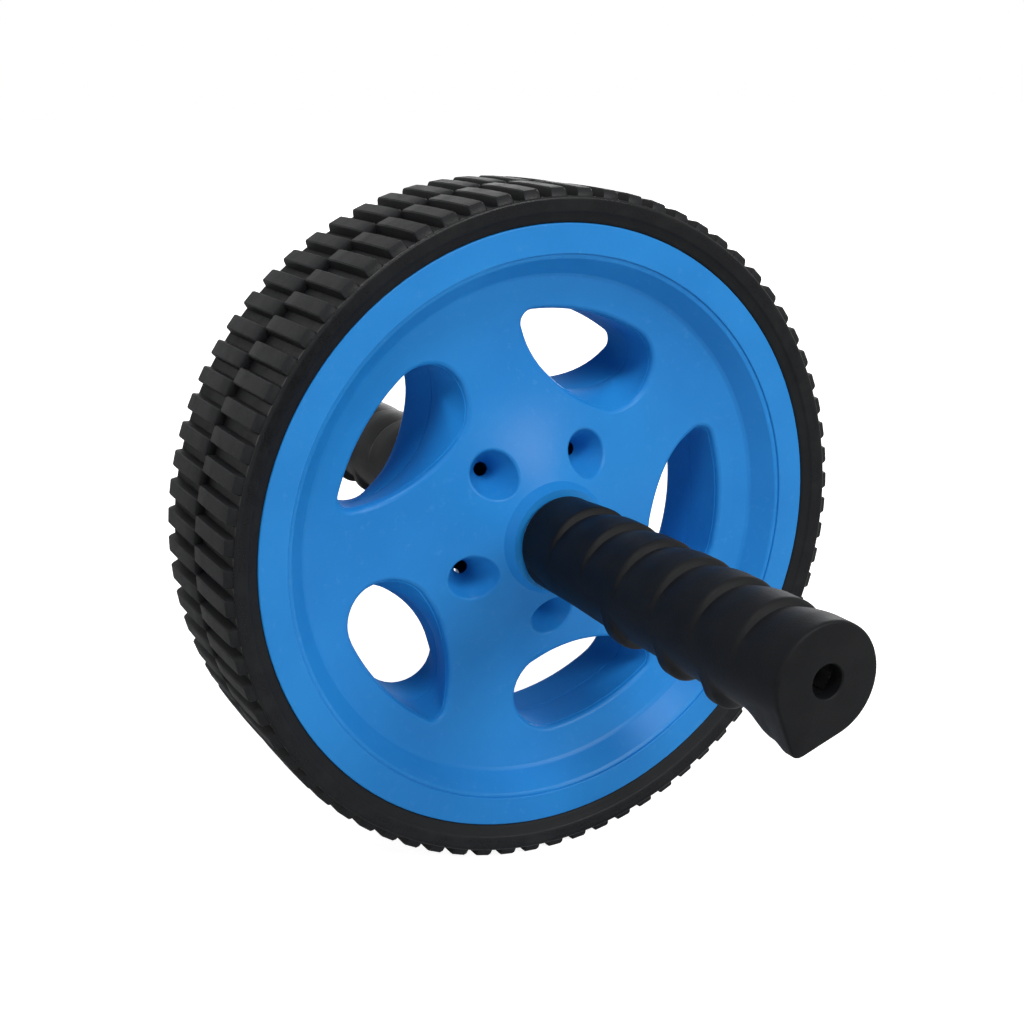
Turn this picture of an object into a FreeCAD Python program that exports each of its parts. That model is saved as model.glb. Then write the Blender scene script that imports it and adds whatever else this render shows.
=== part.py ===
import FreeCAD, Part
import math
import os
import types

import Sketcher

# Ab wheel roller: a two-part moulded wheel with two rubber tyres, turning on a steel tube with a grip
# pushed on each end. The axle lies along Y, +Z is up, and the origin is the middle of the wheel.

os.makedirs("parts", exist_ok=True)
doc = FreeCAD.newDocument("ab_wheel_roller")

# Driving sizes in millimetres, degrees and counts. A half width is measured from the wheel's middle plane.
DRIVING = {
    # tyre
    "tread_radius": 95.0,
    "tread_half_width": 24.2,
    "shoulder_radius": 92.0,
    "shoulder_half_width": 25.4,
    "sidewall_step_radius": 88.2,
    "sidewall_step": 0.5,
    "lug_count": 74,
    "lug_depth": 2.3,
    "groove_floor_width": 3.0,
    "groove_mouth_width": 4.0,
    "parting_chamfer": 0.5,
    # rim and dished face of a wheel half
    "rim_radius": 85.5,
    "rim_lip": 3.0,
    "seat_radius": 82.5,
    "flange_half_width": 23.3,
    "flange_inner_radius": 77.4,
    "flange_edge_rounding": 0.4,
    "ledge_drop": 0.6,
    "ledge_width": 0.9,
    "ledge_rounding": 1.2,
    "dish_radius": 71.4,
    "dish_edge_rounding": 2.5,
    "dish_low_radius": 50.6,
    "dish_low_half_width": 12.9,
    "dish_curve_radius": 62.0,
    "face_wall": 2.4,
    "boss_foot_radius": 16.0,
    "boss_radius": 14.4,
    "boss_half_width": 26.5,
    "hub_wall": 3.0,
    # swirled openings between the spokes
    "spoke_count": 5,
    "opening_reach": 62.0,
    "opening_half_width": 13.8,
    "opening_top_half_width": 17.0,
    "lobe_radius": 12.4,
    "lobe_angle": 12.4,
    "tip_radius": 3.15,
    "tip_angle": 19.3,
    "side_radius": 45.4,
    "seam_side_radius": 28.8,
    "opening_wall": 2.2,
    "opening_rounding": 1.5,
    "hub_clearing_radius": 41.0,
    # conical wells round the hub
    "well_pitch_radius": 24.2,
    "well_angle": 13.4,
    "well_lean": 10.0,
    "well_radius": 6.9,
    "well_hole_radius": 2.75,
    "well_depth": 8.4,
    "well_wall": 1.6,
    "well_rounding": 0.8,
    # bushes, washers and rings on the axle
    "axle_radius": 6.4,
    "axle_wall": 1.2,
    "axle_half_length": 134.3,
    "bush_clearance": 0.06,
    "bush_radius": 9.0,
    "bush_length": 14.0,
    "bush_flange_radius": 12.0,
    "bush_flange": 1.6,
    "end_play": 0.35,
    "washer_radius": 11.4,
    "washer_thickness": 1.2,
    "washer_clearance": 0.1,
    "ring_radius": 10.0,
    "ring_thickness": 1.0,
    # grips
    "grip_gap": 0.7,
    "grip_half_length": 138.3,
    "grip_mouth_clearance": 0.4,
    "heel_radius": 12.8,
    "grip_radius": 13.6,
    "grip_end_radius": 13.3,
    "heel_half_width": 46.0,
    "heel_reach": 13.8,
    "heel_keel_radius": 12.6,
    "palm_half_width": 62.0,
    "palm_reach": 16.3,
    "palm_keel_radius": 9.0,
    "flare_half_width": 112.0,
    "flare_reach": 16.8,
    "flare_keel_radius": 6.0,
    "point_reach": 17.8,
    "point_radius": 2.4,
    "end_hole_radius": 4.0,
    "rib_count": 6,
    "rib_first_half_width": 44.0,
    "rib_pitch": 15.8,
    "rib_crest_reach": 13.9,
    "rib_groove_reach": 12.4,
    "rib_inner_run": 2.6,
    "rib_outer_run": 5.2,
    "rib_rounding": 14.0,
    "rib_groove_offset": 1.35,
    "finger_count": 4,
    "finger_first_half_width": 54.5,
    "finger_pitch": 21.5,
    "finger_groove_radius": 22.0,
    "finger_groove_reach": 13.8,
    "finger_groove_offset": 1.2,
    "flare_lean": 25.0,
}

sheet = doc.addObject("Spreadsheet::Sheet", "dims")
for row, (alias, number) in enumerate(DRIVING.items(), start=1):
    sheet.set(f"A{row}", alias)
    sheet.set(f"B{row}", str(number))
    sheet.setAlias(f"B{row}", alias)
doc.recompute()


class Size:
    """A size as an expression in the sheet, together with the number that it has now."""

    def __init__(self, text, number):
        self.text = text
        self.number = number

    @staticmethod
    def of(item):
        return item if isinstance(item, Size) else Size(str(item), float(item))

    def __add__(self, other):
        other = Size.of(other)
        return Size(f"({self.text} + {other.text})", self.number + other.number)

    def __sub__(self, other):
        other = Size.of(other)
        return Size(f"({self.text} - {other.text})", self.number - other.number)

    def __mul__(self, other):
        other = Size.of(other)
        return Size(f"({self.text} * {other.text})", self.number * other.number)

    def __truediv__(self, other):
        other = Size.of(other)
        return Size(f"({self.text} / {other.text})", self.number / other.number)

    def __neg__(self):
        return Size(f"(0 - {self.text})", -self.number)

    def root(self):
        return Size(f"sqrt({self.text})", math.sqrt(self.number))

    def sine(self):
        return Size(f"sin({self.text})", math.sin(math.radians(self.number)))

    def cosine(self):
        return Size(f"cos({self.text})", math.cos(math.radians(self.number)))


dim = types.SimpleNamespace(
    **{alias: Size(f"dims.{alias}", float(sheet.get(alias))) for alias in DRIVING}
)
ZERO = Size("0", 0.0)


# Sketch and feature helpers

def new_body(label):
    body = doc.addObject("PartDesign::Body", label)
    body.Label = label
    return body


def origin(body, role):
    return next(feature for feature in body.Origin.OriginFeatures if feature.Role == role)


def sketch_on(body, name, plane, height=None):
    """A sketch on one of the body's own planes, lifted along that plane's normal by height."""
    sketch = body.newObject("Sketcher::SketchObject", name)
    sketch.AttachmentSupport = [(origin(body, plane), "")]
    sketch.MapMode = "FlatFace"
    if height is not None:
        sketch.setExpression("AttachmentOffset.Base.z", height.text)
    return sketch


def bind(sketch, kind, places, size):
    number = math.radians(size.number) if kind == "Angle" else size.number
    index = sketch.addConstraint(Sketcher.Constraint(kind, *places, number))
    sketch.setExpression(f"Constraints[{index}]", size.text)


def pin(sketch, edge, end, x, y):
    """Hold one end of an edge at x, y from the sketch's origin."""
    for kind, axis, size in (("DistanceX", -2, x), ("DistanceY", -1, y)):
        if size.number == 0.0:
            sketch.addConstraint(Sketcher.Constraint("PointOnObject", edge, end, axis))
        else:
            bind(sketch, kind, (-1, 1, edge, end), size)


def arc_through(start, end, radius, side):
    """The shorter arc from start to end, with its centre on the left or right of the way."""
    chord = end - start
    towards = FreeCAD.Vector(-chord.y, chord.x, 0).normalize()
    if side == "right":
        towards = -towards
    rise = math.sqrt(radius ** 2 - (chord.Length / 2) ** 2)
    apex = (start + end) * 0.5 + towards * (rise - radius)
    return Part.Arc(start, apex, end)


def closed_outline(sketch, corners, arcs=None):
    """A closed outline through corners; arcs gives the radius and side of the arc leaving a corner."""
    arcs = arcs or {}
    spots = [FreeCAD.Vector(x.number, y.number, 0) for x, y in corners]
    starts = []
    for place, spot in enumerate(spots):
        following = spots[(place + 1) % len(spots)]
        if place in arcs:
            radius, side = arcs[place]
            edge = sketch.addGeometry(arc_through(spot, following, radius.number, side))
        else:
            edge = sketch.addGeometry(Part.LineSegment(spot, following))
        begins_here = sketch.getPoint(edge, 1).distanceToPoint(spot) < 1e-6
        starts.append(1 if begins_here else 2)
    for place, (x, y) in enumerate(corners):
        following = (place + 1) % len(corners)
        ends = (place, 3 - starts[place], following, starts[following])
        sketch.addConstraint(Sketcher.Constraint("Coincident", *ends))
        pin(sketch, place, starts[place], x, y)
        if place in arcs:
            bind(sketch, "Radius", (place,), arcs[place][0])


def revolve(body, name, corners, arcs=None, kind="PartDesign::Revolution"):
    """Turn an outline of (radius, place along the axle) corners about the axle."""
    sketch = sketch_on(body, name + "_outline", "XY_Plane")
    closed_outline(sketch, corners, arcs)
    doc.recompute()
    feature = body.newObject(kind, name)
    feature.Profile = sketch
    feature.ReferenceAxis = (sketch, ["V_Axis"])
    feature.Angle = 360.0
    doc.recompute()
    return feature


def turned(label, corners, arcs=None):
    body = new_body(label)
    revolve(body, label + "_turned", corners, arcs)
    return body


def loft(body, name, sketches, kind="PartDesign::AdditiveLoft", ruled=True):
    feature = body.newObject(kind, name)
    feature.Profile = sketches[0]
    feature.Sections = [(sketch, "") for sketch in sketches[1:]]
    feature.Ruled = ruled
    doc.recompute()
    return feature


def ring_at(radius, half_width):
    """A test for the round edge at a radius and a half width."""
    def chosen(edge):
        spot = edge.valueAt(edge.FirstParameter)
        away = math.hypot(math.hypot(spot.x, spot.z) - radius.number, spot.y - half_width.number)
        return isinstance(edge.Curve, Part.Circle) and away < 1e-4
    return chosen


def soften(body, name, chosen, radius):
    """Round those edges of the body so far that the test picks."""
    base = body.Tip
    edges = [f"Edge{place}" for place, edge in enumerate(base.Shape.Edges, start=1) if chosen(edge)]
    feature = body.newObject("PartDesign::Fillet", name)
    feature.Base = (base, edges)
    feature.setExpression("Radius", radius.text)
    doc.recompute()
    return feature


def round_axle(body, name, features, count):
    """Repeat features evenly round the axle."""
    pattern = body.newObject("PartDesign::PolarPattern", name)
    pattern.Originals = features
    pattern.Axis = (origin(body, "Y_Axis"), [""])
    pattern.Angle = 360.0
    pattern.setExpression("Occurrences", count.text)
    body.Tip = pattern
    doc.recompute()
    return pattern


def along_axle(body, name, features, count, pitch):
    """Repeat features along the axle."""
    pattern = body.newObject("PartDesign::LinearPattern", name)
    pattern.Originals = features
    pattern.Direction = (origin(body, "Y_Axis"), [""])
    pattern.setExpression("Length", (pitch * (count - 1)).text)
    pattern.setExpression("Occurrences", count.text)
    body.Tip = pattern
    doc.recompute()
    return pattern


# Wheel halves

def dish(radius, depth=ZERO):
    """Half width of the dished face at a radius, or of the surface that lies depth below it."""
    curve = dim.dish_curve_radius + depth
    across = radius - dim.dish_low_radius
    height = (curve * curve - across * across).root()
    return dim.dish_low_half_width + dim.dish_curve_radius - height


def swirl_outline(sketch, share, wall=ZERO):
    """Outline of an opening: share 0 at the seam, 1 where the face is cut; wall lies outside it."""
    seam_radius = (dim.lobe_radius + dim.tip_radius) / 2
    seam_angle = (dim.lobe_angle + dim.tip_angle) / 2
    reach = dim.opening_reach + wall
    lobe = seam_radius + (dim.lobe_radius - seam_radius) * share + wall
    tip = seam_radius + (dim.tip_radius - seam_radius) * share + wall
    side = dim.seam_side_radius + (dim.side_radius - dim.seam_side_radius) * share + wall
    lobe_angle = seam_angle + (dim.lobe_angle - seam_angle) * share
    tip_angle = seam_angle + (dim.tip_angle - seam_angle) * share

    up = math.radians(lobe_angle.number)
    down = -math.radians(tip_angle.number)
    lobe_centre = FreeCAD.Vector(math.cos(up), math.sin(up), 0) * (reach - lobe).number
    tip_centre = FreeCAD.Vector(math.cos(down), math.sin(down), 0) * (reach - tip).number
    side_centre = meeting_point(lobe_centre, (side - lobe).number, tip_centre, (side - tip).number)
    from_lobe = bearing(side_centre, lobe_centre)
    from_tip = bearing(side_centre, tip_centre)

    axis = FreeCAD.Vector(0, 0, 1)
    for centre, radius, begin, finish in (
        (FreeCAD.Vector(0, 0, 0), reach, down, up),
        (lobe_centre, lobe, up, from_lobe),
        (side_centre, side, from_lobe, from_tip),
        (tip_centre, tip, from_tip, down + 2 * math.pi),
    ):
        circle = Part.Circle(centre, axis, radius.number)
        edge = sketch.addGeometry(Part.ArcOfCircle(circle, begin, finish))
        bind(sketch, "Radius", (edge,), radius)
    for edge in range(4):
        sketch.addConstraint(Sketcher.Constraint("Tangent", edge, 2, (edge + 1) % 4, 1))
    sketch.addConstraint(Sketcher.Constraint("Coincident", 0, 3, -1, 1))
    bind(sketch, "DistanceY", (-1, 1, 1, 3), (reach - lobe) * lobe_angle.sine())
    bind(sketch, "DistanceY", (-1, 1, 3, 3), -((reach - tip) * tip_angle.sine()))


def meeting_point(first, first_reach, second, second_reach):
    """The point at the given reaches from two points, on the side away from the axle."""
    apart = second - first
    along = (first_reach ** 2 - second_reach ** 2 + apart.Length ** 2) / (2 * apart.Length)
    across = math.sqrt(first_reach ** 2 - along ** 2)
    way = FreeCAD.Vector(apart).normalize()
    aside = FreeCAD.Vector(-way.y, way.x, 0)
    return first + way * along + aside * across


def bearing(start, end):
    return math.atan2(end.y - start.y, end.x - start.x) % (2 * math.pi)


def opening_loft(body, name, kind, low, wall):
    """The swirled wall of one opening from half width low to above the face."""
    sketches = []
    for height in (low, dim.opening_top_half_width):
        sketch = sketch_on(body, f"{name}_outline", "XZ_Plane", -height)
        swirl_outline(sketch, height / dim.opening_half_width, wall)
        sketches.append(sketch)
    doc.recompute()
    return loft(body, name, sketches, kind)


def well_cup(body, name, process, wall):
    """One conical well, from under its bottom hole to above the face, leaning away from the hub."""
    slope = (dim.well_radius - dim.well_hole_radius) / dim.well_depth
    rise = dish(dim.boss_foot_radius) - dish(dim.well_pitch_radius)
    above_hole = dim.well_depth + rise
    mouth_pitch = dim.well_pitch_radius + above_hole * dim.well_lean.sine()
    mouth_half_width = dish(dim.well_pitch_radius) - dim.well_depth + above_hole * dim.well_lean.cosine()
    across = FreeCAD.Vector(-dim.well_angle.sine().number, dim.well_angle.cosine().number, 0)
    lean = FreeCAD.Rotation(across, -dim.well_lean.number)
    cone = body.newObject(f"PartDesign::{process}Cone", name)
    cone.setExpression("Radius1", (dim.well_radius + slope * rise + wall).text)
    cone.setExpression("Radius2", (dim.well_hole_radius - slope * dim.well_wall + wall).text)
    cone.setExpression("Height", (above_hole + dim.well_wall).text)
    cone.AttachmentSupport = [(origin(body, "XZ_Plane"), "")]
    cone.MapMode = "FlatFace"
    cone.AttachmentOffset = FreeCAD.Placement(FreeCAD.Vector(0, 0, 0), lean)
    cone.setExpression("AttachmentOffset.Base.x", (mouth_pitch * dim.well_angle.cosine()).text)
    cone.setExpression("AttachmentOffset.Base.y", (mouth_pitch * dim.well_angle.sine()).text)
    cone.setExpression("AttachmentOffset.Base.z", (-mouth_half_width).text)
    doc.recompute()
    return cone


def on_dish(low, high):
    """A test for edges that lie on the dished face between two radii."""
    def chosen(edge):
        for spot in edge.discretize(5):
            radius = math.hypot(spot.x, spot.z)
            if not low.number < radius < high.number:
                return False
            if abs(spot.y - dish(Size.of(radius)).number) > 0.02:
                return False
        return True
    return chosen


def wheel_half(label):
    """The moulding on the +Y side: rim, dished face, spokes, wells and hub, hollow towards the seam."""
    hub = dim.bush_radius + dim.hub_wall
    rim_inside = dim.seat_radius - dim.face_wall
    flange_inside = dim.flange_half_width - dim.face_wall
    lip_foot = dim.flange_half_width - dim.rim_lip
    flange_shoulder = dim.flange_inner_radius + dim.face_wall / 2
    ledge_radius = dim.flange_inner_radius - dim.ledge_width
    ledge_half_width = dim.flange_half_width - dim.ledge_drop
    dish_shoulder = dim.dish_radius + dim.face_wall / 2
    bush_seat = dim.boss_half_width - dim.bush_flange
    inside_curve = dim.dish_curve_radius + dim.face_wall
    body = new_body(label)

    revolve(body, label + "_shell", [
        (dim.bush_radius, ZERO),
        (hub, ZERO),
        (hub, dish(hub, dim.face_wall)),
        (dish_shoulder, dish(dish_shoulder, dim.face_wall)),
        (flange_shoulder, flange_inside),
        (rim_inside, flange_inside),
        (rim_inside, ZERO),
        (dim.seat_radius, ZERO),
        (dim.seat_radius, lip_foot),
        (dim.rim_radius, lip_foot),
        (dim.rim_radius, dim.flange_half_width),
        (dim.flange_inner_radius, dim.flange_half_width),
        (dim.flange_inner_radius, ledge_half_width),
        (ledge_radius, ledge_half_width),
        (dim.dish_radius, dish(dim.dish_radius)),
        (dim.boss_foot_radius, dish(dim.boss_foot_radius)),
        (dim.boss_radius, dim.boss_half_width),
        (dim.bush_flange_radius, dim.boss_half_width),
        (dim.bush_flange_radius, bush_seat),
        (dim.bush_radius, bush_seat),
    ], {2: (inside_curve, "left"), 14: (dim.dish_curve_radius, "right")})
    for name, radius, half_width, rounding in (
        ("rim_edge", dim.rim_radius, dim.flange_half_width, dim.flange_edge_rounding),
        ("flange_edge", dim.flange_inner_radius, dim.flange_half_width, dim.flange_edge_rounding),
        ("ledge_edge", ledge_radius, ledge_half_width, dim.ledge_rounding),
        ("dish_edge", dim.dish_radius, dish(dim.dish_radius), dim.dish_edge_rounding),
    ):
        soften(body, f"{label}_{name}", ring_at(radius, half_width), rounding)

    tube = opening_loft(body, label + "_opening_wall", "PartDesign::AdditiveLoft", ZERO, dim.opening_wall)
    round_axle(body, label + "_opening_walls", [tube], dim.spoke_count)
    revolve(body, label + "_hub_clearing", [
        (hub, ZERO),
        (dim.hub_clearing_radius, ZERO),
        (dim.hub_clearing_radius, dish(dim.hub_clearing_radius, dim.face_wall)),
        (hub, dish(hub, dim.face_wall)),
    ], {2: (inside_curve, "right")}, "PartDesign::Groove")
    cup = well_cup(body, label + "_well_wall", "Additive", dim.well_wall)
    round_axle(body, label + "_well_walls", [cup], dim.spoke_count)
    above_face = dim.boss_half_width + dim.face_wall
    trim_radius = dim.opening_reach + dim.opening_wall * 2
    revolve(body, label + "_face_trim", [
        (trim_radius, dish(trim_radius)),
        (dim.boss_foot_radius, dish(dim.boss_foot_radius)),
        (dim.boss_radius, dim.boss_half_width),
        (dim.boss_radius, above_face),
        (trim_radius, above_face),
    ], {0: (dim.dish_curve_radius, "right")}, "PartDesign::Groove")

    hole = opening_loft(body, label + "_opening", "PartDesign::SubtractiveLoft", ZERO, ZERO)
    round_axle(body, label + "_openings", [hole], dim.spoke_count)
    soften(body, label + "_opening_rims", on_dish(dim.boss_foot_radius, trim_radius), dim.opening_rounding)
    well = well_cup(body, label + "_well", "Subtractive", ZERO)
    round_axle(body, label + "_wells", [well], dim.spoke_count)
    wells_reach = dim.well_pitch_radius + dim.well_radius + dim.well_wall
    soften(body, label + "_well_rims", on_dish(dim.boss_foot_radius, wells_reach), dim.well_rounding)
    return body


# Tyres

def tyre(label):
    """The rubber ring on the +Y half, with its row of lugs left standing between cut grooves."""
    lip_foot = dim.flange_half_width - dim.rim_lip
    step_out = dim.sidewall_step_radius + dim.sidewall_step
    step_half_width = dim.flange_half_width + (dim.shoulder_half_width - dim.flange_half_width) / 2
    body = new_body(label)
    revolve(body, label + "_ring", [
        (dim.seat_radius, ZERO),
        (dim.seat_radius, lip_foot),
        (dim.rim_radius, lip_foot),
        (dim.rim_radius, dim.flange_half_width),
        (dim.sidewall_step_radius, step_half_width),
        (step_out, step_half_width + dim.sidewall_step),
        (dim.shoulder_radius, dim.shoulder_half_width),
        (dim.tread_radius, dim.tread_half_width),
        (dim.tread_radius, dim.parting_chamfer),
        (dim.tread_radius - dim.parting_chamfer, ZERO),
    ])
    floor = dim.tread_radius - dim.lug_depth
    mouth = dim.tread_radius + dim.parting_chamfer
    half_floor = dim.groove_floor_width / 2
    half_mouth = dim.groove_mouth_width / 2
    sketch = sketch_on(body, label + "_groove_outline", "XZ_Plane")
    closed_outline(sketch, [
        (-half_floor, floor),
        (half_floor, floor),
        (half_mouth, mouth),
        (-half_mouth, mouth),
    ])
    doc.recompute()
    groove = body.newObject("PartDesign::Pocket", label + "_groove")
    groove.Profile = sketch
    groove.Type = "ThroughAll"
    doc.recompute()
    round_axle(body, label + "_grooves", [groove], dim.lug_count)
    return body


# Axle, bushes, washers and rings

def axle_tube(label):
    bore = dim.axle_radius - dim.axle_wall
    return turned(label, [
        (bore, -dim.axle_half_length),
        (dim.axle_radius, -dim.axle_half_length),
        (dim.axle_radius, dim.axle_half_length),
        (bore, dim.axle_half_length),
    ])


def bush(label):
    """Flanged bush pressed into the hub from outside, flush with the boss."""
    bore = dim.axle_radius + dim.bush_clearance
    flange_foot = dim.boss_half_width - dim.bush_flange
    return turned(label, [
        (bore, dim.boss_half_width - dim.bush_length),
        (dim.bush_radius, dim.boss_half_width - dim.bush_length),
        (dim.bush_radius, flange_foot),
        (dim.bush_flange_radius, flange_foot),
        (dim.bush_flange_radius, dim.boss_half_width),
        (bore, dim.boss_half_width),
    ])


washer_start = dim.boss_half_width + dim.end_play
ring_start = washer_start + dim.washer_thickness
ring_end = ring_start + dim.ring_thickness


def plain_ring(label, inner, outer, start, end):
    return turned(label, [(inner, start), (outer, start), (outer, end), (inner, end)])


def thrust_washer(label):
    bore = dim.axle_radius + dim.washer_clearance
    return plain_ring(label, bore, dim.washer_radius, washer_start, ring_start)


def retaining_ring(label):
    return plain_ring(label, dim.axle_radius, dim.ring_radius, ring_start, ring_end)


# Grips

def keel_outline(sketch, radius, keel, reach):
    """A round section drawn out downwards to reach by straight flanks and a smaller keel round."""
    drop = reach - keel
    lean = math.acos((radius - keel).number / drop.number)
    right = -math.pi / 2 + lean
    left = -math.pi / 2 - lean
    axis = FreeCAD.Vector(0, 0, 1)
    low = FreeCAD.Vector(0, -drop.number, 0)
    middle = FreeCAD.Vector(0, 0, 0)
    upper = Part.ArcOfCircle(Part.Circle(middle, axis, radius.number), right, left + 2 * math.pi)
    lower = Part.ArcOfCircle(Part.Circle(low, axis, keel.number), left, right)
    sketch.addGeometry(upper)
    sketch.addGeometry(Part.LineSegment(upper.EndPoint, lower.StartPoint))
    sketch.addGeometry(lower)
    sketch.addGeometry(Part.LineSegment(lower.EndPoint, upper.StartPoint))
    for edge in range(4):
        sketch.addConstraint(Sketcher.Constraint("Tangent", edge, 2, (edge + 1) % 4, 1))
    sketch.addConstraint(Sketcher.Constraint("Coincident", 0, 3, -1, 1))
    bind(sketch, "Radius", (0,), radius)
    bind(sketch, "Radius", (2,), keel)
    pin(sketch, 2, 3, ZERO, -drop)


def off_axis_groove(body, name, axis_height, draw):
    """A groove turned half round about an axis above or below the axle, so that it fades out at its ends."""
    sketch = sketch_on(body, name + "_outline", "YZ_Plane")
    draw(sketch)
    near = FreeCAD.Vector(0, axis_height.number, 0)
    far = FreeCAD.Vector(dim.grip_half_length.number, axis_height.number, 0)
    edge = sketch.addGeometry(Part.LineSegment(near, far), True)
    sketch.addConstraint(Sketcher.Constraint("Horizontal", edge))
    pin(sketch, edge, 1, ZERO, axis_height)
    bind(sketch, "DistanceX", (-1, 1, edge, 2), dim.grip_half_length)
    doc.recompute()
    groove = body.newObject("PartDesign::Groove", name)
    groove.Profile = sketch
    groove.ReferenceAxis = (sketch, ["Axis0"])
    groove.Midplane = True
    groove.Angle = 180.0
    doc.recompute()
    return groove


def rib_notch(sketch):
    """The notch between two ribs: a steep side towards the wheel, and both ribs rounded over into it."""
    place = dim.rib_first_half_width
    closed_outline(sketch, [
        (place - dim.rib_inner_run, dim.rib_crest_reach),
        (place, dim.rib_groove_reach),
        (place + dim.rib_outer_run, dim.rib_crest_reach),
    ], {0: (dim.rib_rounding, "right"), 1: (dim.rib_rounding, "right")})


def finger_scoop(sketch):
    """The round hollow that one finger lies in, under the grip."""
    height = -(dim.finger_groove_reach + dim.finger_groove_radius)
    centre = FreeCAD.Vector(dim.finger_first_half_width.number, height.number, 0)
    circle = Part.Circle(centre, FreeCAD.Vector(0, 0, 1), dim.finger_groove_radius.number)
    edge = sketch.addGeometry(circle)
    pin(sketch, edge, 3, dim.finger_first_half_width, height)
    bind(sketch, "Radius", (edge,), dim.finger_groove_radius)


def grip(label):
    """The rubber handle on the +Y end, with its flared point straight down."""
    start = dim.boss_half_width + dim.grip_gap
    taper = dim.grip_radius - dim.heel_radius
    body = new_body(label)
    sections = []
    for place, radius, keel, reach in (
        (start, dim.heel_radius, dim.heel_keel_radius - taper, dim.heel_reach),
        (dim.heel_half_width, dim.grip_radius, dim.heel_keel_radius, dim.heel_reach),
        (dim.palm_half_width, dim.grip_radius, dim.palm_keel_radius, dim.palm_reach),
        (dim.flare_half_width, dim.grip_radius, dim.flare_keel_radius, dim.flare_reach),
        (dim.grip_half_length, dim.grip_end_radius, dim.point_radius, dim.point_reach),
    ):
        sketch = sketch_on(body, label + "_section", "XZ_Plane", -place)
        keel_outline(sketch, radius, keel, reach)
        sections.append(sketch)
    doc.recompute()
    loft(body, label + "_core", sections, ruled=False)

    rib = off_axis_groove(body, label + "_rib_notch", -dim.rib_groove_offset, rib_notch)
    along_axle(body, label + "_rib_notches", [rib], dim.rib_count, dim.rib_pitch)
    finger = off_axis_groove(body, label + "_finger_scoop", dim.finger_groove_offset, finger_scoop)
    along_axle(body, label + "_finger_scoops", [finger], dim.finger_count, dim.finger_pitch)

    mouth = dim.washer_radius + dim.grip_mouth_clearance
    revolve(body, label + "_bore", [
        (ZERO, start - dim.grip_gap),
        (mouth, start - dim.grip_gap),
        (mouth, ring_end),
        (dim.axle_radius, ring_end),
        (dim.axle_radius, dim.axle_half_length),
        (dim.end_hole_radius, dim.axle_half_length),
        (dim.end_hole_radius, dim.grip_half_length + dim.grip_gap),
        (ZERO, dim.grip_half_length + dim.grip_gap),
    ], kind="PartDesign::Groove")
    return body


# Placing: each front piece is its rear twin turned about

X_AXIS = FreeCAD.Vector(1, 0, 0)
Y_AXIS = FreeCAD.Vector(0, 1, 0)
Z_AXIS = FreeCAD.Vector(0, 0, 1)
as_built = FreeCAD.Rotation()
flipped = FreeCAD.Rotation(X_AXIS, 180)
half_lug = FreeCAD.Rotation(Y_AXIS, 180.0 / dim.lug_count.number)
leaning = FreeCAD.Rotation(Y_AXIS, dim.flare_lean.number)
about = FreeCAD.Rotation(Z_AXIS, 180)

pieces = []


def place(body, rotation):
    body.Placement = FreeCAD.Placement(FreeCAD.Vector(0, 0, 0), rotation)
    pieces.append(body)


place(axle_tube("axle_tube"), as_built)
for make, name, rear_turn, front_turn in (
    (wheel_half, "wheel_half", as_built, flipped),
    (tyre, "tyre", as_built, half_lug * flipped),
    (bush, "bush", as_built, flipped),
    (thrust_washer, "thrust_washer", as_built, flipped),
    (retaining_ring, "retaining_ring", as_built, flipped),
    (grip, "grip", leaning, leaning * about),
):
    place(make("rear_" + name), rear_turn)
    place(make("front_" + name), front_turn)
doc.recompute()

for item in doc.Objects:
    if "Invalid" in item.State or "Error" in item.State:
        raise RuntimeError(f"{item.Name} did not build: {item.State}")
for body in pieces:
    if body.Shape.isNull() or not body.Shape.isValid():
        raise RuntimeError(f"{body.Label} has no valid solid")
    body.Shape.exportStep(f"parts/{body.Label}.step")
    print(body.Label, round(body.Shape.Volume), body.Shape.BoundBox, len(body.Shape.Solids))
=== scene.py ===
import math

import bmesh
import bpy
from mathutils import Matrix, Vector


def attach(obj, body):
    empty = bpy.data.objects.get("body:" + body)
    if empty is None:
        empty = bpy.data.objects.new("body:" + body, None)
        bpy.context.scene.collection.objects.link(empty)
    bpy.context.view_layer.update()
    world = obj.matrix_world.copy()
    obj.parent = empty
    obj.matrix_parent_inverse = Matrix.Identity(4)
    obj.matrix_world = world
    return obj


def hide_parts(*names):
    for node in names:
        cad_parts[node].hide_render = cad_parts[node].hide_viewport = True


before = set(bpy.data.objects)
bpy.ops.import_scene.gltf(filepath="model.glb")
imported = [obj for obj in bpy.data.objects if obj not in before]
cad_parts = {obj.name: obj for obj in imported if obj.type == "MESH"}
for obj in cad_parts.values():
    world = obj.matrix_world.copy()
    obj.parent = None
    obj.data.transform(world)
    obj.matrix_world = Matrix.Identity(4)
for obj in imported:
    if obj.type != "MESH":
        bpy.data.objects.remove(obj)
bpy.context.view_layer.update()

# Axle, thrust washers and retaining rings
# A drawn steel tube runs through the wheel. On each side a thrust washer and a retaining ring,
# pressed on the tube, keep the wheel in its place. All of it is bare bright steel, and the grips
# cover it.

STEEL = (0.50, 0.51, 0.52, 1.0)
WORN_STEEL = (0.62, 0.62, 0.61, 1.0)
DRAWN_STRETCH = (1.0, 0.04, 1.0)


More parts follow.
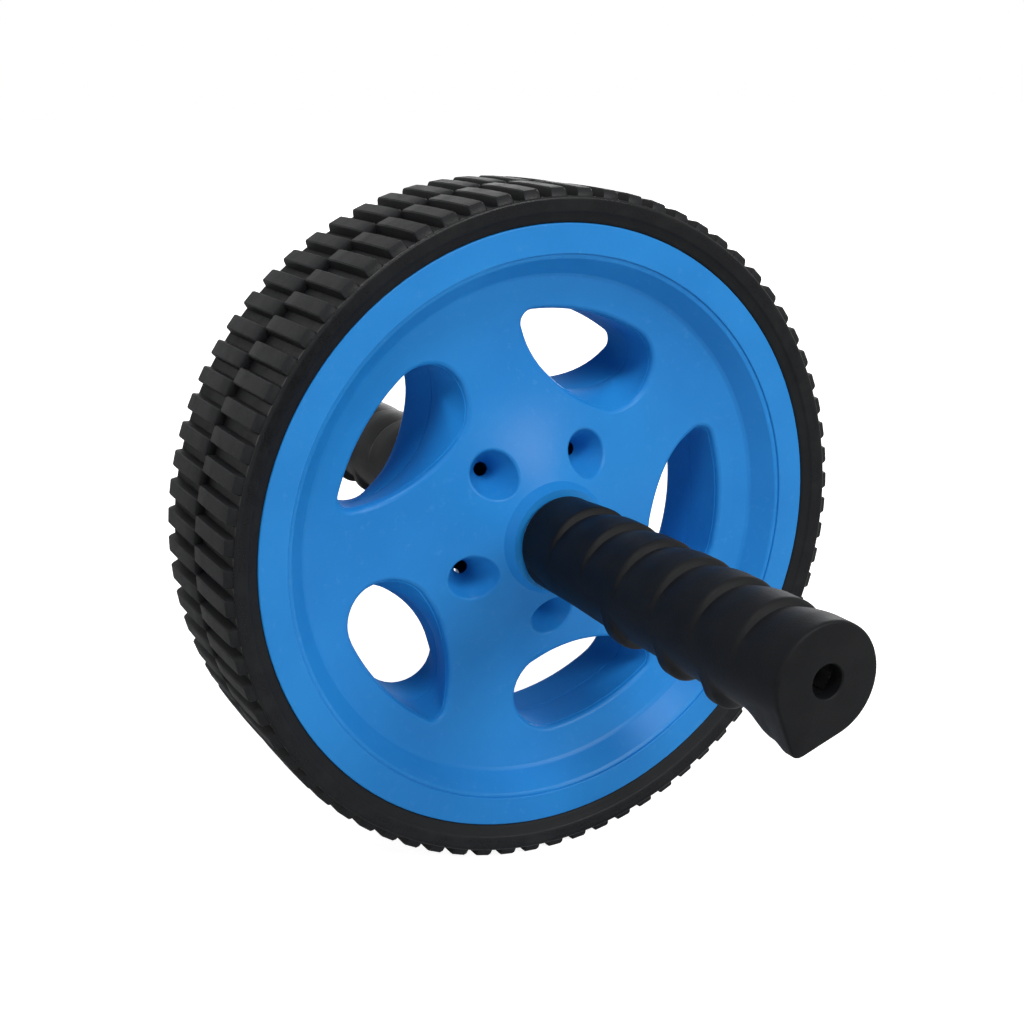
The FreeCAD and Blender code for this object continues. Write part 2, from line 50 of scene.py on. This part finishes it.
class Signal:
    """One output of a material's nodes. Arithmetic on signals adds the Math nodes for it."""

    def __init__(self, socket):
        self.socket = socket

    def node(self, kind, settings, inputs, output=0):
        """Add a node, set it up, fill its inputs by name or number, and give one output."""
        tree = self.socket.id_data
        added = tree.nodes.new(kind)
        for name, setting in settings.items():
            setattr(added, name, setting)
        for name, value in inputs.items():
            if isinstance(value, Signal):
                tree.links.new(value.socket, added.inputs[name])
            else:
                added.inputs[name].default_value = value
        return Signal(added.outputs[output])

    def feed(self, shader, name):
        self.socket.id_data.links.new(self.socket, shader.inputs[name])

    def maths(self, operation, first, second):
        return self.node("ShaderNodeMath", {"operation": operation}, {0: first, 1: second})

    def __add__(self, other):
        return self.maths("ADD", self, other)

    def __sub__(self, other):
        return self.maths("SUBTRACT", self, other)

    def __mul__(self, other):
        return self.maths("MULTIPLY", self, other)

    def noise(self, scale, detail=3.0, roughness=0.5):
        """Noise about 0.5 at this many waves per metre, with this signal as the place."""
        return self.node("ShaderNodeTexNoise", {}, {
            "Vector": self, "Scale": scale, "Detail": detail, "Roughness": roughness})

    def ramp(self, low, high):
        """0 at low and under, 1 at high and over."""
        return self.node("ShaderNodeMapRange", {"interpolation_type": "SMOOTHSTEP"}, {
            "Value": self, "From Min": low, "From Max": high})

    def mix(self, first, second):
        """The colour that this share of the second gives over the first."""
        # The node's inputs 6 and 7 and its output 2 are the colours.
        return self.node("ShaderNodeMix", {"data_type": "RGBA"}, {0: self, 6: first, 7: second}, 2)

    def bump(self, strength, distance):
        return self.node("ShaderNodeBump", {}, {
            "Height": self, "Strength": strength, "Distance": distance})


def new_finish(name, specular):
    """A material, its shader, and the place on the object as a signal."""
    material = bpy.data.materials.new(name)
    material.use_nodes = True
    tree = material.node_tree
    shader = tree.nodes["Principled BSDF"]
    shader.inputs["Specular IOR Level"].default_value = specular
    place = Signal(tree.nodes.new("ShaderNodeTexCoord").outputs["Object"])
    return material, shader, place


def dress(node_name, material):
    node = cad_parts[node_name]
    node.data.materials.clear()
    node.data.materials.append(material)


bright_steel, shader, place = new_finish("bright_drawn_steel", 0.5)
shader.inputs["Metallic"].default_value = 1.0
drawn = place.node(
    "ShaderNodeVectorMath", {"operation": "MULTIPLY"}, {0: place, 1: DRAWN_STRETCH})
lines = drawn.noise(2600.0)
place.noise(90.0).mix(STEEL, WORN_STEEL).feed(shader, "Base Color")
(lines * 0.18 + 0.2).feed(shader, "Roughness")
lines.bump(0.15, 0.0002).feed(shader, "Normal")

for node_name in ("axle_tube", "front_thrust_washer", "rear_thrust_washer",
                  "front_retaining_ring", "rear_retaining_ring"):
    dress(node_name, bright_steel)

# Bushes
# A flanged plain bush is pressed into each side of the hub, and the wheel turns in it on the
# tube. It is moulded in pale self-lubricating plastic, turned smooth in the bore.

BUSH_CREAM = (0.66, 0.65, 0.60, 1.0)
BUSH_PALE = (0.74, 0.73, 0.69, 1.0)

bush_plastic, shader, place = new_finish("pale_bush_plastic", 0.5)
shader.inputs["Roughness"].default_value = 0.45
place.noise(160.0).mix(BUSH_CREAM, BUSH_PALE).feed(shader, "Base Color")
place.noise(1800.0).bump(0.1, 0.0002).feed(shader, "Normal")

for node_name in ("front_bush", "rear_bush"):
    dress(node_name, bush_plastic)

# Wheel halves
# Two like mouldings in bright blue plastic meet at the middle of the wheel. Each has a rim, a
# dished face with five swirled openings, and five conical wells round the hub. The face is
# satin, with a fine spark-eroded grain.

BLUE = (0.018, 0.225, 0.600, 1.0)
DEEP_BLUE = (0.014, 0.197, 0.550, 1.0)
SCUFFED_BLUE = (0.055, 0.270, 0.635, 1.0)


def moulded_plastic(name, roughness, specular):
    """Blue plastic with slow flow marks, a fine grain and light scuffs."""
    plastic, shader, place = new_finish(name, specular)
    flow = place.noise(28.0, 4.0)
    grain = place.noise(2400.0, 2.0)
    scuffs = place.noise(420.0, 5.0, 0.65).ramp(0.56, 0.74)
    moulded = flow.ramp(0.3, 0.7).mix(DEEP_BLUE, BLUE)
    (scuffs * 0.35).mix(moulded, SCUFFED_BLUE).feed(shader, "Base Color")
    (grain * 0.06 + flow * 0.08 + scuffs * 0.05 + (roughness - 0.09)).feed(shader, "Roughness")
    grain.bump(0.12, 0.0002).feed(shader, "Normal")
    return plastic


satin_blue = moulded_plastic("satin_blue_plastic", 0.38, 0.18)
for node_name in ("front_wheel_half", "rear_wheel_half"):
    dress(node_name, satin_blue)

# Linings of the openings
# Each opening is walled round from the face to the seam, and the wall twists from the front
# face's swirl to the rear one's. It belongs to the same moulding, and its surface is left coarse
# from the mould. From here on the sizes of the pieces are in millimetres.

MM = 0.001
FULL_TURN = 2 * math.pi
SPOKE_COUNT = 5
OPENING_REACH = 62.0
LOBE_RADIUS = 12.4
LOBE_ANGLE = math.radians(12.4)
TIP_RADIUS = 3.15
TIP_ANGLE = math.radians(19.3)
SIDE_RADIUS = 45.4
SEAM_SIDE_RADIUS = 28.8
FACE_HALF_WIDTH = 13.8
SWIRL_HALF_WIDTH = 17.0
DISH_HALF_WIDTH = 12.9
DISH_ARC_RADIUS = 62.0
DISH_MIDDLE_RADIUS = 50.6
RIM_ROUNDING = 1.6
LINING_INSET = 0.25
LINING_THICKNESS = 0.7
LINING_ROWS = 10
SEAM_EDGE = 0.22
ARC_STEPS = 16


def new_piece(name, vertices, faces, material, sharp=35.0):
    """A closed mesh with its faces outwards, smooth except at edges sharper than an angle."""
    mesh = bpy.data.meshes.new(name)
    mesh.from_pydata(vertices, [], faces)
    shell = bmesh.new()
    shell.from_mesh(mesh)
    bmesh.ops.recalc_face_normals(shell, faces=shell.faces)
    shell.to_mesh(mesh)
    shell.free()
    mesh.materials.append(material)
    mesh.shade_smooth()
    mesh.set_sharp_from_angle(angle=math.radians(sharp))
    piece = bpy.data.objects.new(name, mesh)
    bpy.context.scene.collection.objects.link(piece)
    return piece


def strips(rows, columns, closed_rows=False):
    """The four-sided faces between neighbouring rows of points, each row a closed ring."""
    faces = []
    for row in range(rows if closed_rows else rows - 1):
        following = (row + 1) % rows
        for column in range(columns):
            beside = (column + 1) % columns
            faces.append((row * columns + column, row * columns + beside,
                          following * columns + beside, following * columns + column))
    return faces


def dish_half_width(radius):
    """Half width of the dished face, an arc that is lowest at its middle radius."""
    depth = math.sqrt(DISH_ARC_RADIUS ** 2 - (radius - DISH_MIDDLE_RADIUS) ** 2)
    return DISH_HALF_WIDTH + DISH_ARC_RADIUS - depth


def swirl(share, outwards):
    """Points round an opening: share 0 at the seam, 1 at the face; outwards is into the wall."""
    seam_radius = (LOBE_RADIUS + TIP_RADIUS) / 2
    seam_angle = (LOBE_ANGLE + TIP_ANGLE) / 2
    reach = OPENING_REACH + outwards
    lobe = seam_radius + (LOBE_RADIUS - seam_radius) * share + outwards
    tip = seam_radius + (TIP_RADIUS - seam_radius) * share + outwards
    side = SEAM_SIDE_RADIUS + (SIDE_RADIUS - SEAM_SIDE_RADIUS) * share + outwards
    up = seam_angle + (LOBE_ANGLE - seam_angle) * share
    down = -seam_angle - (TIP_ANGLE - seam_angle) * share
    lobe_centre = Vector((math.cos(up), math.sin(up))) * (reach - lobe)
    tip_centre = Vector((math.cos(down), math.sin(down))) * (reach - tip)
    # The side next to the hub is an arc that the lobe and the tip touch from inside.
    apart = tip_centre - lobe_centre
    along = ((side - lobe) ** 2 - (side - tip) ** 2 + apart.length ** 2) / (2 * apart.length)
    across = math.sqrt((side - lobe) ** 2 - along ** 2)
    way = apart.normalized()
    side_centre = lobe_centre + way * along + Vector((-way.y, way.x)) * across
    from_lobe = math.atan2(*(lobe_centre - side_centre).yx) % FULL_TURN
    from_tip = math.atan2(*(tip_centre - side_centre).yx) % FULL_TURN
    points = []
    for centre, radius, begin, finish in (
        (Vector((0.0, 0.0)), reach, down, up),
        (lobe_centre, lobe, up, from_lobe),
        (side_centre, side, from_lobe, from_tip),
        (tip_centre, tip, from_tip, down + FULL_TURN),
    ):
        for step in range(ARC_STEPS):
            turn = begin + (finish - begin) * step / ARC_STEPS
            points.append(centre + Vector((math.cos(turn), math.sin(turn))) * radius)
    return points


def lining_mesh(name, side, material):
    """The walls of all openings of one half, each a thin closed band."""
    # Rows as (share of the height, distance into the wall): the broken edge at the seam, up the
    # visible wall, and down again behind it.
    rows = [(step / LINING_ROWS, -LINING_INSET) for step in range(LINING_ROWS + 1)]
    rows[0] = (0.0, SEAM_EDGE - LINING_INSET)
    rows.insert(1, (SEAM_EDGE / FACE_HALF_WIDTH, -LINING_INSET))
    rows += [(1.0, LINING_THICKNESS), (0.0, LINING_THICKNESS)]
    vertices = []
    faces = []
    for opening in range(SPOKE_COUNT):
        middle = FULL_TURN * opening / SPOKE_COUNT
        start = len(vertices)
        for rise, outwards in rows:
            top = swirl(SWIRL_HALF_WIDTH / FACE_HALF_WIDTH, outwards)
            foot = swirl(0.0, outwards)
            for low, high in zip(foot, top):
                height = rise * (dish_half_width(high.length) - RIM_ROUNDING)
                spot = low.lerp(high, height / SWIRL_HALF_WIDTH)
                turn = math.atan2(spot.y, spot.x) + middle
                radius = spot.length
                vertices.append((radius * MM * math.cos(turn), side * height * MM,
                                 side * radius * MM * math.sin(turn)))
        for face in strips(len(rows), len(top), True):
            faces.append(tuple(start + corner for corner in face))
    return new_piece(name, vertices, faces, material)


coarse_blue = moulded_plastic("coarse_blue_plastic", 0.75, 0.05)
for end, side in (("front", -1.0), ("rear", 1.0)):
    lining = lining_mesh(f"{end}_opening_linings", side, coarse_blue)
    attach(lining, "wheel")

# Tyres
# A moulded rubber ring sits on each half's rim, held by the lip. Its tread is a row of crosswise
# lugs that fall away to a smooth shoulder, and the two rows meet at the middle half a lug apart.

TREAD_RADIUS = 95.0
GROOVE_FLOOR_RADIUS = 92.2
LUG_COUNT = 74
LUG_TOP_WIDTH = 4.4
LUG_FOOT_WIDTH = 5.5
LUG_EDGE = 0.35
LUG_CROWN_DROP = 0.04
LUG_SUNK = 0.6
LUG_SHARP_ANGLE = 30.0
RING_STEPS = 3 * LUG_COUNT
POLISH_START = 24.4
POLISH_FULL = 24.9
TYRE_BLACK = (0.0045, 0.0050, 0.0060, 1.0)
TYRE_DUST = (0.0105, 0.0115, 0.0115, 1.0)

# Ring outline as (radius, half width): bore, rim seat, lip, sidewall, shoulder, groove floor.
RING_OUTLINE = (
    (82.5, 0.0), (82.5, 20.3), (85.5, 20.3), (85.5, 22.8), (85.75, 23.2), (86.6, 23.6),
    (88.1, 24.15), (88.3, 24.3), (88.55, 24.6), (88.9, 24.75), (90.2, 25.0), (90.9, 25.2),
    (91.4, 25.35), (91.8, 25.4), (92.2, 25.3), (92.45, 25.05), (92.5, 24.6),
    (GROOVE_FLOOR_RADIUS, 23.8), (GROOVE_FLOOR_RADIUS, 0.0),
)

# Lug ends and crown as (half width, height of the top above the groove floor).
LUG_STATIONS = (
    (0.15, 1.6), (0.45, 2.35), (1.0, 2.65), (7.0, 2.8), (13.0, 2.8), (19.0, 2.7),
    (22.8, 2.6), (23.8, 2.45), (24.4, 1.9), (24.9, 0.2),
)


def around_axle(reach, turn, across):
    """A point this far from the axle, turned from straight up, and this far along the axle."""
    return (reach * MM * math.sin(turn), across * MM, reach * MM * math.cos(turn))


def ring_mesh(name, side, material):
    vertices = []
    for radius, half_width in RING_OUTLINE:
        for step in range(RING_STEPS):
            vertices.append(around_axle(radius, FULL_TURN * step / RING_STEPS, side * half_width))
    return new_piece(name, vertices, strips(len(RING_OUTLINE), RING_STEPS, True), material)


def lug_mesh(name, side, material):
    """One lug at the top of the wheel: a round-edged bar across the tread, sunk in the ring."""
    foot = LUG_FOOT_WIDTH / 2
    top = LUG_TOP_WIDTH / 2
    sunk = GROOVE_FLOOR_RADIUS - LUG_SUNK
    vertices = []
    for half_width, height in LUG_STATIONS:
        crest = GROOVE_FLOOR_RADIUS + height
        crown = crest - LUG_CROWN_DROP
        outline = ((-foot, sunk), (-top, crest - LUG_EDGE), (-top + LUG_EDGE, crown),
                   (top - LUG_EDGE, crown), (top, crest - LUG_EDGE), (foot, sunk))
        for along, reach in outline:
            vertices.append((along * MM, side * half_width * MM, reach * MM))
    corners = len(outline)
    faces = strips(len(LUG_STATIONS), corners)
    faces.append(tuple(range(corners)))
    faces.append(tuple(range(len(vertices) - corners, len(vertices))))
    return new_piece(name, vertices, faces, material, LUG_SHARP_ANGLE)


def lug_row_tree():
    """Nodes that set a lug at even steps round the axle and join the row to the ring."""
    tree = bpy.data.node_groups.new("lug_row", "GeometryNodeTree")
    sockets = {}
    for name, kind in (("Ring", "Geometry"), ("Lug", "Object"), ("Lug count", "Int"),
                       ("Stagger", "Float"), ("Rubber", "Material")):
        socket = tree.interface.new_socket(
            name, in_out="INPUT", socket_type=f"NodeSocket{kind}")
        sockets[name] = socket.identifier
    tree.interface.new_socket("Tyre", in_out="OUTPUT", socket_type="NodeSocketGeometry")
    given = tree.nodes.new("NodeGroupInput").outputs
    result = tree.nodes.new("NodeGroupOutput")

    def add(kind, links, **settings):
        node = tree.nodes.new(kind)
        for name, setting in settings.items():
            setattr(node, name, setting)
        for name, source in links.items():
            if isinstance(source, bpy.types.NodeSocket):
                tree.links.new(source, node.inputs[name])
            else:
                node.inputs[name].default_value = source
        return node.outputs

    points = add("GeometryNodePoints", {"Count": given["Lug count"]})
    index = add("GeometryNodeInputIndex", {})
    step = add("ShaderNodeMath", {0: FULL_TURN, 1: given["Lug count"]}, operation="DIVIDE")
    places = add("ShaderNodeMath", {0: index[0], 1: given["Stagger"]}, operation="ADD")
    angle = add("ShaderNodeMath", {0: places[0], 1: step[0]}, operation="MULTIPLY")
    turn = add("ShaderNodeCombineXYZ", {"Y": angle[0]})
    rotation = add("FunctionNodeEulerToRotation", {"Euler": turn[0]})
    lug = add("GeometryNodeObjectInfo", {"Object": given["Lug"]})
    row = add("GeometryNodeInstanceOnPoints", {
        "Points": points[0], "Instance": lug["Geometry"], "Rotation": rotation[0]})
    both = add("GeometryNodeJoinGeometry", {"Geometry": row[0]})
    tree.links.new(given["Ring"], both[0].node.inputs["Geometry"])
    solid = add("GeometryNodeRealizeInstances", {"Geometry": both[0]})
    finished = add("GeometryNodeSetMaterial", {
        "Geometry": solid[0], "Material": given["Rubber"]})
    tree.links.new(finished[0], result.inputs["Tyre"])
    return tree, sockets


tyre_rubber, shader, place = new_finish("black_tyre_rubber", 0.18)
dust = place.noise(150.0, 5.0, 0.6).ramp(0.42, 0.72)
pores = place.noise(2100.0, 3.0)
(dust * 0.6).mix(TYRE_BLACK, TYRE_DUST).feed(shader, "Base Color")
across = place.node("ShaderNodeSeparateXYZ", {}, {0: place}, 1)
polished = across.maths("ABSOLUTE", across, 0.0).ramp(POLISH_START * MM, POLISH_FULL * MM)
(pores * 0.12 + dust * 0.10 + 0.54 - polished * 0.32).feed(shader, "Roughness")
pores.bump(0.25, 0.0003).feed(shader, "Normal")

lug_row, lug_row_sockets = lug_row_tree()
for end, side, stagger in (("front", -1.0, 1.0), ("rear", 1.0, 0.5)):
    tyre = ring_mesh(f"{end}_tyre_rubber", side, tyre_rubber)
    lug = lug_mesh(f"{end}_lug", side, tyre_rubber)
    lugs = tyre.modifiers.new("Lugs", "NODES")
    lugs.node_group = lug_row
    lugs[lug_row_sockets["Lug"]] = lug
    lugs[lug_row_sockets["Lug count"]] = LUG_COUNT
    lugs[lug_row_sockets["Stagger"]] = stagger
    lugs[lug_row_sockets["Rubber"]] = tyre_rubber
    bpy.context.view_layer.update()
    evaluated = tyre.evaluated_get(bpy.context.evaluated_depsgraph_get())
    whole = bpy.data.meshes.new_from_object(evaluated)
    tyre.modifiers.remove(lugs)
    tyre.data = whole
    bpy.data.objects.remove(lug)
    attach(tyre, "wheel")
    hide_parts(f"{end}_tyre")

# Grips
# A solid rubber grip is pushed on each end of the tube. Six notches step its upper side into
# ribs, three short ridges part the fingers below, and it flares to a point at the outer end,
# whose flat face has a small vent hole.

GRIP_START = 27.2
GRIP_END = 138.3
HEEL_END = 44.0
FLARE_START = 110.0
GRIP_RADIUS = 13.6
HEEL_RADIUS = 12.8
HEEL_EDGE = 0.8
END_EDGE = 0.7
EDGE_SHARES = (0.0, 0.08, 0.3, 0.6)
NOTCH_FIRST = 44.0
NOTCH_PITCH = 15.8
NOTCH_COUNT = 6
NOTCH_DEPTH = 1.7
NOTCH_STEEP_RUN = 1.3
NOTCH_STEEP_POWER = 1.3
NOTCH_GENTLE_RUN = 9.5
NOTCH_GENTLE_POWER = 1.7
NOTCH_SHIFT = -0.25
NOTCH_FADE = (-0.45, 0.8)
STATIONS_PER_NOTCH = 30
GRIP_STEPS = 120
GRIP_SHARP_ANGLE = 40.0
FLARE_LEAN = math.radians(25.0)
GRIP_BLACK = (0.0040, 0.0044, 0.0052, 1.0)
GRIP_BLOOM = (0.0100, 0.0105, 0.0110, 1.0)

# Radius of the rounded lower edge at the heel, where the flare starts, and at the end.
HEEL_KEEL, FLARE_KEEL, END_KEEL = 11.0, 7.0, 2.4
LEAST_KEEL_DROP = 0.02

# Lowest line of the grip as (half width, reach): the heel, three short ridges, and the flare.
KEEL_PROFILE = (
    (42.0, 13.6),
    (65.5, 14.1), (68.5, 16.0), (71.5, 16.0), (74.5, 14.0),
    (88.0, 14.0), (91.0, 16.2), (94.0, 16.2), (97.0, 13.9),
    (106.0, 13.9), (109.0, 16.4), (112.0, 16.4), (115.0, 13.8),
    (119.0, 13.8), (130.4, 16.6), (136.0, 17.8),
)

# Inside of the grip as (radius, half width): vent hole, tube bore, mouth over the washer.
BORE_OUTLINE = (
    (4.3, 138.3), (4.0, 138.0), (4.0, 134.4), (6.45, 134.4), (6.45, 29.1), (11.8, 29.1),
    (11.8, 27.2),
)


def blend(low, high, at):
    """0 at low, 1 at high, and a smooth rise between them."""
    share = min(max((at - low) / (high - low), 0.0), 1.0)
    return share * share * (3.0 - 2.0 * share)


def keel_reach(half_width):
    """How far the grip reaches down, eased from one point of its profile to the next."""
    reach = KEEL_PROFILE[0][1]
    for (low, before), (high, after) in zip(KEEL_PROFILE, KEEL_PROFILE[1:]):
        reach += (after - before) * blend(low, high, half_width)
    return reach


def notch_share(half_width):
    """1 at the bottom of a notch and 0 on a rib, steep towards the wheel and gentle outwards."""
    nearest = round((half_width - NOTCH_FIRST) / NOTCH_PITCH + NOTCH_SHIFT)
    nearest = min(max(nearest, 0), NOTCH_COUNT - 1)
    away = half_width - (NOTCH_FIRST + NOTCH_PITCH * nearest)
    if away < 0.0:
        return max(0.0, 1.0 + away / NOTCH_STEEP_RUN) ** NOTCH_STEEP_POWER
    return max(0.0, 1.0 - away / NOTCH_GENTLE_RUN) ** NOTCH_GENTLE_POWER


def grip_reach(turn, half_width):
    """Distance from the axle to the surface; turn is measured from the grip's upper side."""
    widening = blend(GRIP_START, HEEL_END, half_width)
    radius = HEEL_RADIUS + (GRIP_RADIUS - HEEL_RADIUS) * widening
    keel = HEEL_KEEL + (FLARE_KEEL - HEEL_KEEL) * blend(HEEL_END, FLARE_START, half_width)
    keel += (END_KEEL - FLARE_KEEL) * blend(FLARE_START, GRIP_END, half_width)
    # The section is a circle with a smaller one below it, joined by straight flanks.
    drop = max(keel_reach(half_width), radius + LEAST_KEEL_DROP) - keel
    lean = math.acos(min((radius - keel) / drop, 1.0))
    down = abs(math.pi - turn % FULL_TURN)
    keel_edge = math.atan2(keel * math.sin(lean), drop + keel * math.cos(lean))
    if down < keel_edge:
        surface = drop * math.cos(down) + math.sqrt(keel ** 2 - (drop * math.sin(down)) ** 2)
    elif down < lean:
        surface = radius / math.cos(lean - down)
    else:
        surface = radius
    return surface - NOTCH_DEPTH * notch_share(half_width) * blend(*NOTCH_FADE, math.cos(turn))


def edge_rounding(half_width):
    """How far the surface draws in at the rounded heel and outer edge."""
    drawn = 0.0
    for edge, rounding in ((GRIP_START, HEEL_EDGE), (GRIP_END, END_EDGE)):
        away = abs(half_width - edge)
        if away < rounding:
            drawn += rounding - math.sqrt(rounding ** 2 - (rounding - away) ** 2)
    return drawn


def grip_stations():
    """Half widths of the rings that make the outside, close together at the rounded edges."""
    fine = NOTCH_PITCH / STATIONS_PER_NOTCH
    first = math.ceil((GRIP_START + HEEL_EDGE - NOTCH_FIRST) / fine)
    last = math.floor((GRIP_END - END_EDGE - NOTCH_FIRST) / fine)
    stations = [GRIP_START + HEEL_EDGE * share for share in EDGE_SHARES]
    stations += [NOTCH_FIRST + fine * step for step in range(first, last + 1)]
    stations += [GRIP_END - END_EDGE * share for share in reversed(EDGE_SHARES)]
    return stations


def grip_mesh(name, side, material):
    """The outside from the heel to the end face, then back through the vent hole and bore."""
    turns = [FULL_TURN * step / GRIP_STEPS for step in range(GRIP_STEPS)]
    rings = []
    for half_width in grip_stations():
        drawn = edge_rounding(half_width)
        rings.append((half_width, [grip_reach(turn, half_width) - drawn for turn in turns]))
    for radius, half_width in BORE_OUTLINE:
        rings.append((half_width, [radius] * GRIP_STEPS))
    vertices = []
    for half_width, reaches in rings:
        for turn, reach in zip(turns, reaches):
            vertices.append(around_axle(reach, turn + FLARE_LEAN, side * half_width))
    faces = strips(len(rings), GRIP_STEPS, True)
    return new_piece(name, vertices, faces, material, GRIP_SHARP_ANGLE)


grip_rubber, shader, place = new_finish("black_grip_rubber", 0.12)
bloom = place.noise(110.0, 4.0).ramp(0.35, 0.75)
skin = place.noise(1700.0, 3.0)
(bloom * 0.5).mix(GRIP_BLACK, GRIP_BLOOM).feed(shader, "Base Color")
(skin * 0.10 + bloom * 0.08 + 0.44).feed(shader, "Roughness")
skin.bump(0.2, 0.00025).feed(shader, "Normal")

for end, side in (("front", -1.0), ("rear", 1.0)):
    grip = grip_mesh(f"{end}_grip_rubber", side, grip_rubber)
    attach(grip, "axle")
    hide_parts(f"{end}_grip")

# Floor, light and camera
# The roller stands on its tread on a white studio floor that keeps a soft shadow. A lamp in
# front gives the shape, others above, at the left and behind light the tread and the far side,
# and a dim white surround fills the rest. Their places are in metres.

SURROUND_LIGHT = 0.13
FLOOR_GLOW = 0.9
FLOOR_REACH = 6.0
FLOOR_HEIGHT = -TREAD_RADIUS * MM
FLOOR_GREY = (0.86, 0.86, 0.86, 1.0)
FLOOR_WHITE = (0.90, 0.90, 0.90, 1.0)
CAMERA_PLACE = (-0.19706, -0.36277, 0.12551)
CAMERA_RIGHT = Vector((0.87893, -0.47691, -0.00437))
CAMERA_UP = Vector((0.14122, 0.25150, 0.95749))
CAMERA_BACK = Vector((-0.45554, -0.84220, 0.28841))


def add_lamp(name, location, size, energy):
    """A square lamp that looks at the object."""
    data = bpy.data.lights.new(name, "AREA")
    data.shape = "SQUARE"
    data.size = size
    data.energy = energy
    lamp = bpy.data.objects.new(name, data)
    lamp.location = location
    lamp.rotation_euler = (-lamp.location).to_track_quat("-Z", "Y").to_euler()
    bpy.context.scene.collection.objects.link(lamp)


add_lamp("front_lamp", (0.55, -1.4, 0.85), 0.8, 15.5)
add_lamp("overhead_lamp", (-0.35, -0.75, 1.35), 0.4, 9.5)
add_lamp("left_lamp", (-1.4, -0.5, 0.5), 0.9, 3.5)
add_lamp("back_lamp", (1.2, 1.6, 0.45), 1.0, 13.0)


def seen_directly(tree):
    """1 for what the camera sees, also by reflection or through glass, and 0 for its light."""
    path = tree.nodes.new("ShaderNodeLightPath").outputs
    seen = Signal(path["Is Camera Ray"])
    for kind in ("Is Glossy Ray", "Is Transmission Ray"):
        seen = seen.maths("MAXIMUM", seen, Signal(path[kind]))
    return seen


world = bpy.data.worlds.new("white_surround")
world.use_nodes = True
background = world.node_tree.nodes["Background"]
background.inputs["Color"].default_value = (1.0, 1.0, 1.0, 1.0)
strength = seen_directly(world.node_tree) * (1.0 - SURROUND_LIGHT) + SURROUND_LIGHT
strength.feed(background, "Strength")
bpy.context.scene.world = world

white_floor, shader, place = new_finish("white_studio_floor", 0.1)
shader.inputs["Roughness"].default_value = 0.8
place.noise(3.0).mix(FLOOR_GREY, FLOOR_WHITE).feed(shader, "Base Color")
tree = white_floor.node_tree
glow = tree.nodes.new("ShaderNodeEmission")
by_camera = Signal(tree.nodes.new("ShaderNodeLightPath").outputs["Is Camera Ray"])
(by_camera * FLOOR_GLOW).feed(glow, "Strength")
lit = by_camera.node("ShaderNodeAddShader", {}, {
    0: Signal(shader.outputs["BSDF"]), 1: Signal(glow.outputs["Emission"])})
lit.feed(tree.nodes["Material Output"], "Surface")

floor_mesh = bpy.data.meshes.new("studio_floor")
corners = [(FLOOR_REACH * x, FLOOR_REACH * y, FLOOR_HEIGHT)
           for x, y in ((-1, -1), (1, -1), (1, 1), (-1, 1))]
floor_mesh.from_pydata(corners, [], [(0, 1, 2, 3)])
floor_mesh.materials.append(white_floor)
floor = bpy.data.objects.new("studio_floor", floor_mesh)
bpy.context.scene.collection.objects.link(floor)

camera_data = bpy.data.cameras.new("camera")
camera_data.sensor_width = 36.0
camera_data.lens = 52.52
camera = bpy.data.objects.new("camera", camera_data)
turned = Matrix((CAMERA_RIGHT, CAMERA_UP, CAMERA_BACK)).transposed().to_4x4()
camera.matrix_world = Matrix.Translation(CAMERA_PLACE) @ turned
bpy.context.scene.collection.objects.link(camera)
bpy.context.scene.camera = camera
bpy.context.scene.view_settings.view_transform = "Standard"
